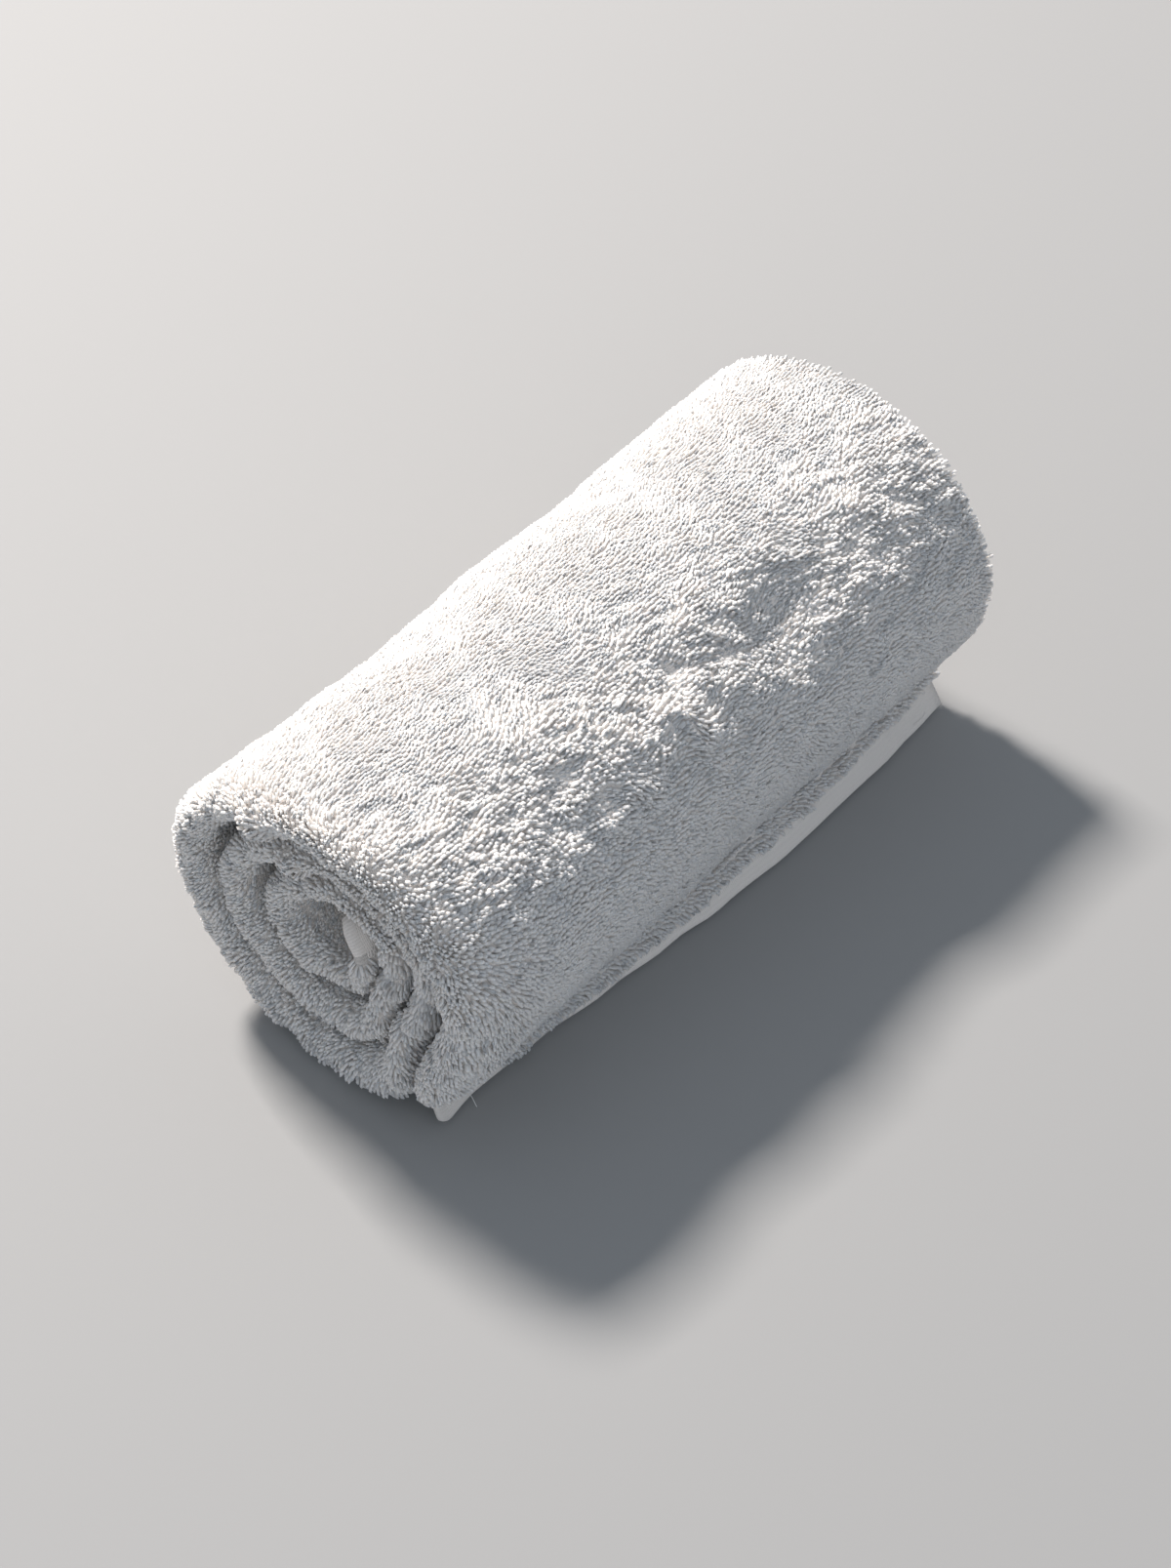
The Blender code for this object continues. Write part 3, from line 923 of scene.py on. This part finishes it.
def model_stitch():
    """One stitch of sewing thread: a short strand whose ends dip into the cloth."""
    deselect()
    bpy.ops.mesh.primitive_uv_sphere_add(segments=6, ring_count=4, radius=1.0)
    stitch = bpy.context.object
    stitch.name = stitch.data.name = "thread_stitch"
    bpy.ops.transform.resize(value=(STITCH / 2, *STITCH_HALF_THICK))
    bpy.ops.object.transform_apply(location=False, rotation=True, scale=True)
    bpy.ops.object.shade_smooth()
    stitch.data.attributes.new("rise", "FLOAT", "POINT").data.foreach_set(
        "value", [1.0] * len(stitch.data.vertices)
    )
    return stitch


def model_stitching(group):
    """A row of machine stitches along both hems, on both layers."""
    draw = np.random.default_rng(STITCH_SEED)
    rows = []
    for along in (STITCH_LINE, CLOTH_LENGTH - STITCH_LINE):
        reach = float(fold_quarter(along) + layer_width(along)) - STITCH_STOP
        across = np.arange(-reach, reach, STITCH_PITCH)
        rows.append(np.stack([np.full(len(across), along), across], axis=1))
    along, across = np.concatenate(rows).T
    lift = ground_lift(along, across) + STITCH_LIFT
    points = placed(along, across, lift)
    up = placed(along, across, lift + NUDGE) - points
    forward = placed(along, across + NUDGE, lift) - points
    turns, stretches = eulers(forward, up), np.ones((len(points), 3))
    tones = draw.uniform(0, 1, len(points))
    return plant("hem_stitching", points, turns, stretches, tones, group)


LooseThread = namedtuple("LooseThread", "x y z")
LOOSE_THREAD = (  # the end of a sewing thread, at the hem's near corner
    LooseThread(x=-111.0, y=-44.0, z=6.5),
    LooseThread(x=-111.5, y=-45.4, z=5.6),
    LooseThread(x=-110.6, y=-46.9, z=4.0),
    LooseThread(x=-111.6, y=-48.2, z=2.2),
    LooseThread(x=-111.2, y=-49.0, z=0.6),
)
THREAD_RADIUS = 0.12 * MM


def model_thread():
    deselect()
    bpy.ops.curve.primitive_nurbs_path_add()
    thread = bpy.context.object
    thread.name = thread.data.name = "loose_thread"
    for point, place in zip(thread.data.splines[0].points, LOOSE_THREAD):
        point.co = (place.x * MM, place.y * MM, place.z * MM, 1.0)
    thread.data.bevel_depth = THREAD_RADIUS
    thread.data.bevel_resolution = 1
    bpy.ops.object.convert(target="MESH")
    bpy.ops.object.shade_smooth()
    return bpy.context.object


def studio_floor(colour):
    bpy.ops.mesh.primitive_plane_add(size=6.0)
    floor = bpy.context.object
    floor.name = floor.data.name = "studio_floor"
    material = bpy.data.materials.new("studio_floor")
    material.use_nodes = True
    shader = material.node_tree.nodes["Principled BSDF"]
    shader.inputs["Base Color"].default_value = (*colour, 1.0)
    shader.inputs["Roughness"].default_value = 0.7
    shader.inputs["Specular IOR Level"].default_value = 0.3
    floor.data.materials.append(material)


Light = namedtuple("Light", "name way distance size colour")
KEY = Light(name="key", way=(0.18, 0.87, 1.0), distance=2.6, size=0.45, colour=(1.0, 0.93, 0.87))
FILL = Light(name="fill", way=(-0.9, -1.0, 0.8), distance=1.8, size=1.4, colour=(0.90, 0.95, 1.0))


def studio_light(row, power):
    """A square area light on one side of the roll, facing it."""
    way = Vector(row.way).normalized()
    place = way * row.distance + Vector((0, 0, AXIS_HEIGHT))
    deselect()
    bpy.ops.object.light_add(type="AREA", location=place)
    light = bpy.context.object
    light.name = light.data.name = row.name
    light.data.size = row.size
    light.data.energy = power
    light.data.color = row.colour
    light.rotation_euler = (-way).to_track_quat("-Z", "Y").to_euler()


def colour_setting(name, description, default):
    return bpy.props.FloatVectorProperty(
        name=name, description=description, subtype="COLOR", default=default
    )


def length_setting(name, description, default):
    return bpy.props.FloatProperty(
        name=name, description=description, unit="LENGTH", default=default
    )


class TowelSettings(bpy.types.PropertyGroup):
    yarn: colour_setting("Yarn", "Colour of the cotton", (0.90, 0.875, 0.855))
    shade: colour_setting("Shade", "Colour of the cotton's darker patches", (0.86, 0.825, 0.80))
    # the roots' colour is painted shade deep in the pile, not a colour of the yarn
    root: colour_setting("Roots", "Colour deep in the pile", (0.86, 0.80, 0.75))
    pile_height: length_setting("Pile height", "From the woven ground to the loops' tops", PILE)
    row_gap: length_setting("Row gap", "From one row of loops to the next", 1.3 * MM)
    loop_gap: length_setting("Loop gap", "From one loop to the next in its row", 1.5 * MM)


class StudioSettings(bpy.types.PropertyGroup):
    floor: colour_setting("Floor", "Colour of the floor", (0.34, 0.345, 0.35))
    key_power: bpy.props.FloatProperty(
        name="Key", description="Power of the main light", default=122.0, unit="POWER"
    )
    fill_power: bpy.props.FloatProperty(
        name="Fill", description="Power of the soft light in front", default=4.5, unit="POWER"
    )
    sky: bpy.props.FloatProperty(
        name="Surroundings", description="Brightness of the plain surroundings", default=0.42
    )


class TOWEL_OT_cloth(bpy.types.Operator):
    """Winds the cloth as one thin sheet with its flat-woven hems"""

    bl_idname = "towel.cloth"
    bl_label = "Cloth"

    def execute(self, context):
        prepare_groups()
        model_cloth(finish_colours(context.scene))
        return {"FINISHED"}


class TOWEL_OT_pile(bpy.types.Operator):
    """Plants the loops of the pile on the cloth"""

    bl_idname = "towel.pile"
    bl_label = "Pile"

    def execute(self, context):
        settings = context.scene.terry_towel
        prepare_groups()
        material = loop_material(finish_colours(context.scene))
        loop = model_loop()
        group = planting_group(loop)
        for seed, bed in enumerate(BEDS, FIRST_SEED):
            settled(model_pile(bed, settings, seed, group), material)
        bpy.data.objects.remove(loop)
        return {"FINISHED"}


class TOWEL_OT_sewing(bpy.types.Operator):
    """Sews the hems, and leaves one loose end of thread"""

    bl_idname = "towel.sewing"
    bl_label = "Sewing"

    def execute(self, context):
        prepare_groups()
        colours = finish_colours(context.scene)
        material = cotton_material("sewing_thread", colours, 0.6, 0.2).material
        stitch = model_stitch()
        settled(model_stitching(planting_group(stitch)), material)
        bpy.data.objects.remove(stitch)
        settled(model_thread(), material)
        return {"FINISHED"}


class TOWEL_OT_studio(bpy.types.Operator):
    """Sets the roll on a pale floor under soft light, with a camera above its folded end"""

    bl_idname = "towel.studio"
    bl_label = "Studio"

    def execute(self, context):
        settings = context.scene.terry_studio
        deselect()
        studio_floor(settings.floor)
        studio_light(KEY, settings.key_power)
        studio_light(FILL, settings.fill_power)
        world = bpy.data.worlds.new("surroundings")
        world.use_nodes = True
        world.node_tree.nodes["Background"].inputs["Color"].default_value = SKY_COLOUR
        world.node_tree.nodes["Background"].inputs["Strength"].default_value = settings.sky
        context.scene.world = world
        turn, tilt = math.radians(CAMERA_AZIMUTH), math.radians(CAMERA_ELEVATION)
        level = math.cos(tilt)
        back = Vector((math.sin(turn) * level, -math.cos(turn) * level, math.sin(tilt)))
        aim = Vector((-MIDDLE[0], -MIDDLE[1], CAMERA_AIM))
        bpy.ops.object.camera_add(location=back * CAMERA_DISTANCE + aim)
        camera = context.object
        camera.rotation_euler = (-back).to_track_quat("-Z", "Y").to_euler()
        camera.data.lens = CAMERA_LENS
        camera.data.shift_x, camera.data.shift_y = CAMERA_SHIFT
        camera.data.clip_start = 0.02
        context.scene.camera = camera
        context.scene.view_settings.view_transform = "Standard"
        return {"FINISHED"}


SKY_COLOUR = (0.78, 0.85, 0.94, 1)
CAMERA_AZIMUTH, CAMERA_ELEVATION = -49.57, 46.32
CAMERA_DISTANCE, CAMERA_AIM = 1.346, 64 * MM
CAMERA_LENS = 93.98
CAMERA_SHIFT = (-0.0047, -0.0515)


class TOWEL_PT_panel(bpy.types.Panel):
    """The towel's pieces and its studio"""

    bl_idname = "TOWEL_PT_panel"
    bl_label = "Rolled Terry Towel"
    bl_space_type = "VIEW_3D"
    bl_region_type = "UI"
    bl_category = "Towel"

    def draw(self, context):
        layout = self.layout
        for settings in (context.scene.terry_towel, context.scene.terry_studio):
            for name in settings.bl_rna.properties.keys():
                if name not in ("rna_type", "name"):
                    layout.prop(settings, name)
        for operator in OPERATORS:
            layout.operator(operator.bl_idname)


OPERATORS = (TOWEL_OT_cloth, TOWEL_OT_pile, TOWEL_OT_sewing, TOWEL_OT_studio)
CLASSES = (TowelSettings, StudioSettings, *OPERATORS, TOWEL_PT_panel)


def register():
    for kind in CLASSES:
        bpy.utils.register_class(kind)
    bpy.types.Scene.terry_towel = bpy.props.PointerProperty(type=TowelSettings)
    bpy.types.Scene.terry_studio = bpy.props.PointerProperty(type=StudioSettings)


def unregister():
    del bpy.types.Scene.terry_studio
    del bpy.types.Scene.terry_towel
    for kind in reversed(CLASSES):
        bpy.utils.unregister_class(kind)


def main():
    register()
    bpy.ops.towel.cloth()
    bpy.ops.towel.pile()
    bpy.ops.towel.sewing()
    bpy.ops.towel.studio()


if __name__ == "__main__":
    main()
